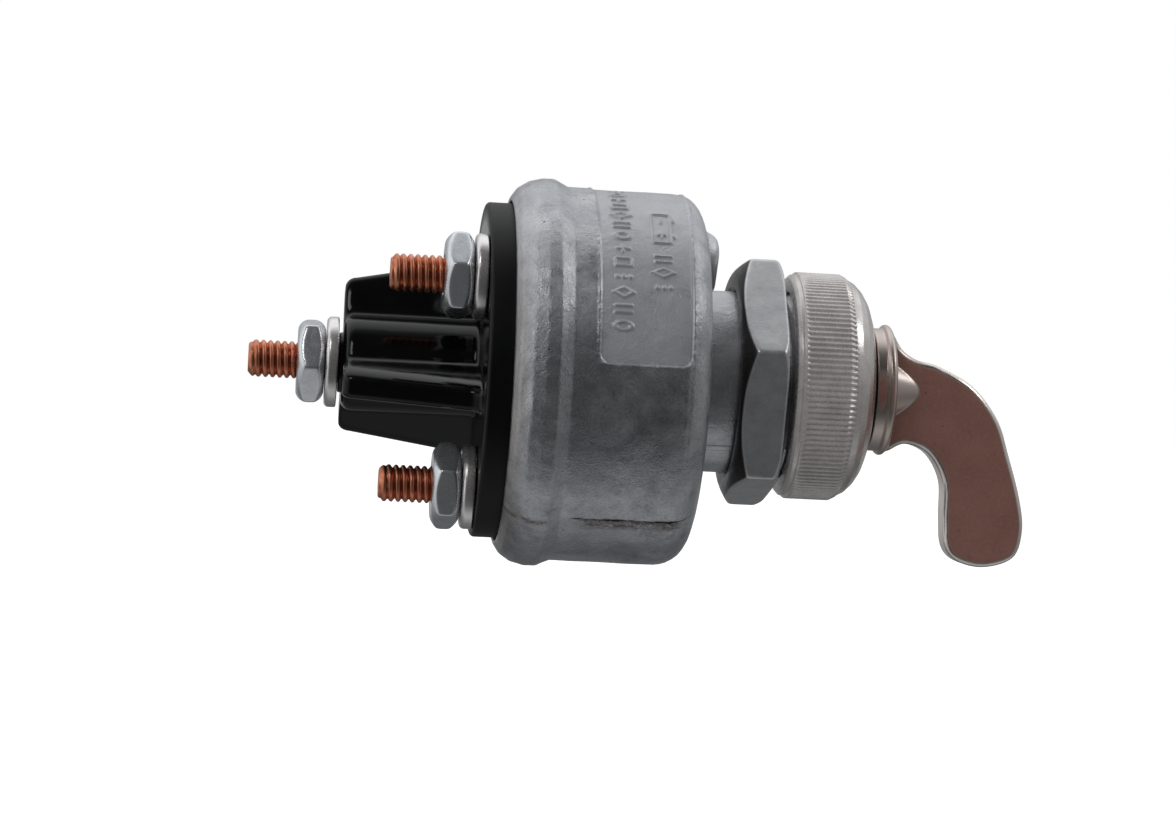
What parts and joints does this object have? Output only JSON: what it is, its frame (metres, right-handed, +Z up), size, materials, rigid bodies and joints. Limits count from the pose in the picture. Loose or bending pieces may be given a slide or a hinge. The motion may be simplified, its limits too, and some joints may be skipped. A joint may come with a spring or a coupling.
{
  "type": "battery switch",
  "caption": "Lever-operated rotary battery and ignition switch with a die-cast can, threaded panel neck, knurled nut and screw terminals.",
  "frame": {"origin": "on the switch's axis, in the plane of the jam nut's front face, where the rear of the panel lies", "axes": "+X along the axis from the terminals to the lever, +Z up with the lever hanging down at off, -Y is the side with the label pad"},
  "size_m": [0.0891, 0.044, 0.044],
  "materials": {
    "zinc_casting": "die-cast zinc, satin and slightly mottled",
    "black_phenolic": "moulded, glossy",
    "copper": "bare copper, threads rolled",
    "silver_contact": "silver, satin",
    "zinc_plate": "bright zinc plate",
    "washer_steel": "zinc plate, satin",
    "face_nut_plate": "nickel plate, satin, knurled",
    "nickel_plate": "nickel plate, bright",
    "black_rubber": "matte",
    "hardened_steel": "ground",
    "brass": "bare brass, satin",
    "spring_steel": "drawn wire and strip"
  },
  "bodies": {
    "switch_body": {"housing": "zinc_casting", "terminal_base": "black_phenolic", "base_gasket": "black_rubber", "detent_ring": "hardened_steel", "return_spring": "spring_steel", "stud_battery": "copper", "contact_battery": "silver_contact", "washer_battery": "washer_steel", "nut_battery": "zinc_plate", "stud_ignition": "copper", "contact_ignition": "silver_contact", "washer_ignition": "washer_steel", "nut_ignition": "zinc_plate", "stud_accessory": "copper", "contact_accessory": "silver_contact", "washer_accessory": "washer_steel", "nut_accessory": "zinc_plate", "stud_start": "copper", "contact_start": "silver_contact", "washer_start": "washer_steel", "nut_start": "zinc_plate"},
    "jam_nut": {"jam_nut": "zinc_plate"},
    "face_nut": {"face_nut": "face_nut_plate"},
    "lever_group": {"lever": "nickel_plate", "lever_shaft": "hardened_steel", "shaft_seal": "black_rubber", "thrust_washer": "brass", "rotor": "black_phenolic", "rotor_pin": "spring_steel", "shaft_clip": "spring_steel", "bridge_spring": "spring_steel", "detent_spring_a": "spring_steel", "detent_spring_b": "spring_steel"},
    "bridge": {"contact_bridge": "copper"},
    "ball_a": {"detent_ball_a": "hardened_steel"},
    "ball_b": {"detent_ball_b": "hardened_steel"}
  },
  "joints": [
    {"name": "lever_turn", "type": "hinge", "parent": "switch_body", "child": "lever_group", "pos_m": [0, 0, 0], "axis": [-1, 0, 0], "range_deg": [-35, 70], "deforming": ["return_spring"]},
    {"name": "bridge_lift", "type": "slide", "parent": "lever_group", "child": "bridge", "axis": [1, 0, 0], "range_m": [0, 0.0006], "stiffness_N_per_m": 600, "deforming": ["bridge_spring"]},
    {"name": "jam_nut_turn", "type": "hinge", "parent": "switch_body", "child": "jam_nut", "pos_m": [0, 0, 0], "axis": [1, 0, 0], "continuous": true},
    {"name": "face_nut_turn", "type": "hinge", "parent": "switch_body", "child": "face_nut", "pos_m": [0, 0, 0], "axis": [1, 0, 0], "continuous": true},
    {"name": "ball_a_spring_travel", "type": "slide", "parent": "lever_group", "child": "ball_a", "axis": [0, -0.766, 0.6428], "range_m": [0, 0.0006], "stiffness_N_per_m": 400, "deforming": ["detent_spring_a"]},
    {"name": "ball_b_spring_travel", "type": "slide", "parent": "lever_group", "child": "ball_b", "axis": [0, 0.766, -0.6428], "range_m": [0, 0.0006], "stiffness_N_per_m": 400, "deforming": ["detent_spring_b"]}
  ]
}
